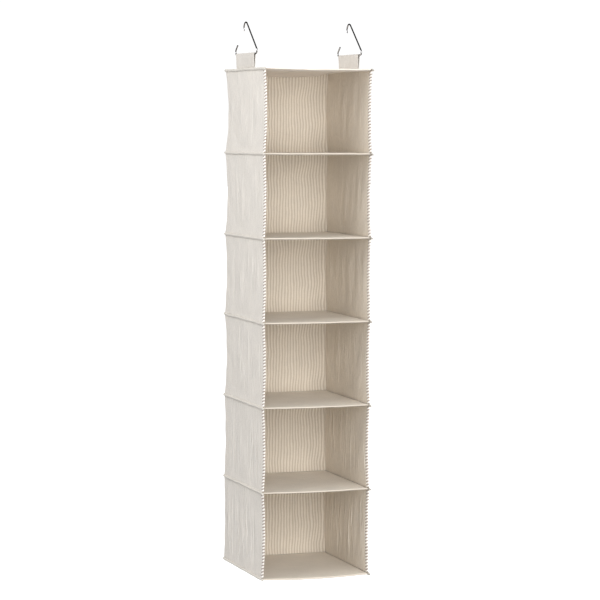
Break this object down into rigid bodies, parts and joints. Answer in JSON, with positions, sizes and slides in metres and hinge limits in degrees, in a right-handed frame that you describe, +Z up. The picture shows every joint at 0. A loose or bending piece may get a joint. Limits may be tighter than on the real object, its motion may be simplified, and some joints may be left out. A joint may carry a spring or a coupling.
{
  "type": "hanging shoe organizer",
  "caption": "Tall open-fronted canvas organizer that hangs from a closet rod by wire hooks, with flat shelves between striped soft walls that fold up flat.",
  "frame": {"origin": "on the closet rod's axis, midway between the two hooks", "axes": "+Z up, along the hanging organizer; +X along the closet rod, to the right seen from the open front; the open front faces -Y"},
  "size_m": [0.282, 0.311, 1.3367],
  "materials": {
    "striped_canvas": "matt plain-weave cotton canvas, cream with fine taupe stripes running up and down",
    "shelf_canvas": "the same striped canvas with its stripes running from side to side",
    "binding_tape": "striped canvas cut on the cross and folded over the edge",
    "fibreboard": "plain brown fibreboard, hidden inside the sleeves",
    "hook_steel": "bright plated round steel wire"
  },
  "bodies": {
    "top": {"top_board": "fibreboard", "top_sleeve": "shelf_canvas", "top_seam_binding": "binding_tape", "left_hanging_loop": "striped_canvas", "right_hanging_loop": "striped_canvas", "left_wall_1": "striped_canvas", "right_wall_1": "striped_canvas", "back_wall_1": "striped_canvas", "left_edge_tape_1": "binding_tape", "right_edge_tape_1": "binding_tape"},
    "shelf_1": {"shelf_board_1": "fibreboard", "shelf_sleeve_1": "shelf_canvas", "seam_binding_1": "binding_tape", "left_wall_2": "striped_canvas", "right_wall_2": "striped_canvas", "back_wall_2": "striped_canvas", "left_edge_tape_2": "binding_tape", "right_edge_tape_2": "binding_tape"},
    "shelf_2": {"shelf_board_2": "fibreboard", "shelf_sleeve_2": "shelf_canvas", "seam_binding_2": "binding_tape", "left_wall_3": "striped_canvas", "right_wall_3": "striped_canvas", "back_wall_3": "striped_canvas", "left_edge_tape_3": "binding_tape", "right_edge_tape_3": "binding_tape"},
    "shelf_3": {"shelf_board_3": "fibreboard", "shelf_sleeve_3": "shelf_canvas", "seam_binding_3": "binding_tape", "left_wall_4": "striped_canvas", "right_wall_4": "striped_canvas", "back_wall_4": "striped_canvas", "left_edge_tape_4": "binding_tape", "right_edge_tape_4": "binding_tape"},
    "shelf_4": {"shelf_board_4": "fibreboard", "shelf_sleeve_4": "shelf_canvas", "seam_binding_4": "binding_tape", "left_wall_5": "striped_canvas", "right_wall_5": "striped_canvas", "back_wall_5": "striped_canvas", "left_edge_tape_5": "binding_tape", "right_edge_tape_5": "binding_tape"},
    "shelf_5": {"shelf_board_5": "fibreboard", "shelf_sleeve_5": "shelf_canvas", "seam_binding_5": "binding_tape", "left_wall_6": "striped_canvas", "right_wall_6": "striped_canvas", "back_wall_6": "striped_canvas", "left_edge_tape_6": "binding_tape", "right_edge_tape_6": "binding_tape"},
    "base": {"base_board": "fibreboard", "base_sleeve": "shelf_canvas", "base_seam_binding": "binding_tape"},
    "left_hook": {"left_hook": "hook_steel"},
    "right_hook": {"right_hook": "hook_steel"}
  },
  "joints": [
    {"name": "compartment_1_fold", "type": "slide", "parent": "top", "child": "shelf_1", "axis": [0, 0, 1], "range_m": [0, 0.176], "deforming": ["left_wall_1", "right_wall_1", "back_wall_1", "left_edge_tape_1", "right_edge_tape_1"]},
    {"name": "compartment_2_fold", "type": "slide", "parent": "shelf_1", "child": "shelf_2", "axis": [0, 0, 1], "range_m": [0, 0.176], "deforming": ["left_wall_2", "right_wall_2", "back_wall_2", "left_edge_tape_2", "right_edge_tape_2"]},
    {"name": "compartment_3_fold", "type": "slide", "parent": "shelf_2", "child": "shelf_3", "axis": [0, 0, 1], "range_m": [0, 0.176], "deforming": ["left_wall_3", "right_wall_3", "back_wall_3", "left_edge_tape_3", "right_edge_tape_3"]},
    {"name": "compartment_4_fold", "type": "slide", "parent": "shelf_3", "child": "shelf_4", "axis": [0, 0, 1], "range_m": [0, 0.176], "deforming": ["left_wall_4", "right_wall_4", "back_wall_4", "left_edge_tape_4", "right_edge_tape_4"]},
    {"name": "compartment_5_fold", "type": "slide", "parent": "shelf_4", "child": "shelf_5", "axis": [0, 0, 1], "range_m": [0, 0.176], "deforming": ["left_wall_5", "right_wall_5", "back_wall_5", "left_edge_tape_5", "right_edge_tape_5"]},
    {"name": "compartment_6_fold", "type": "slide", "parent": "shelf_5", "child": "base", "axis": [0, 0, 1], "range_m": [0, 0.176], "deforming": ["left_wall_6", "right_wall_6", "back_wall_6", "left_edge_tape_6", "right_edge_tape_6"]},
    {"name": "left_hook_swing", "type": "hinge", "parent": "top", "child": "left_hook", "pos_m": [-0.134, 0, -0.063], "axis": [0, 1, 0], "range_deg": [-160, 110]},
    {"name": "right_hook_swing", "type": "hinge", "parent": "top", "child": "right_hook", "pos_m": [0.134, 0, -0.063], "axis": [0, 1, 0], "range_deg": [-110, 160]}
  ]
}
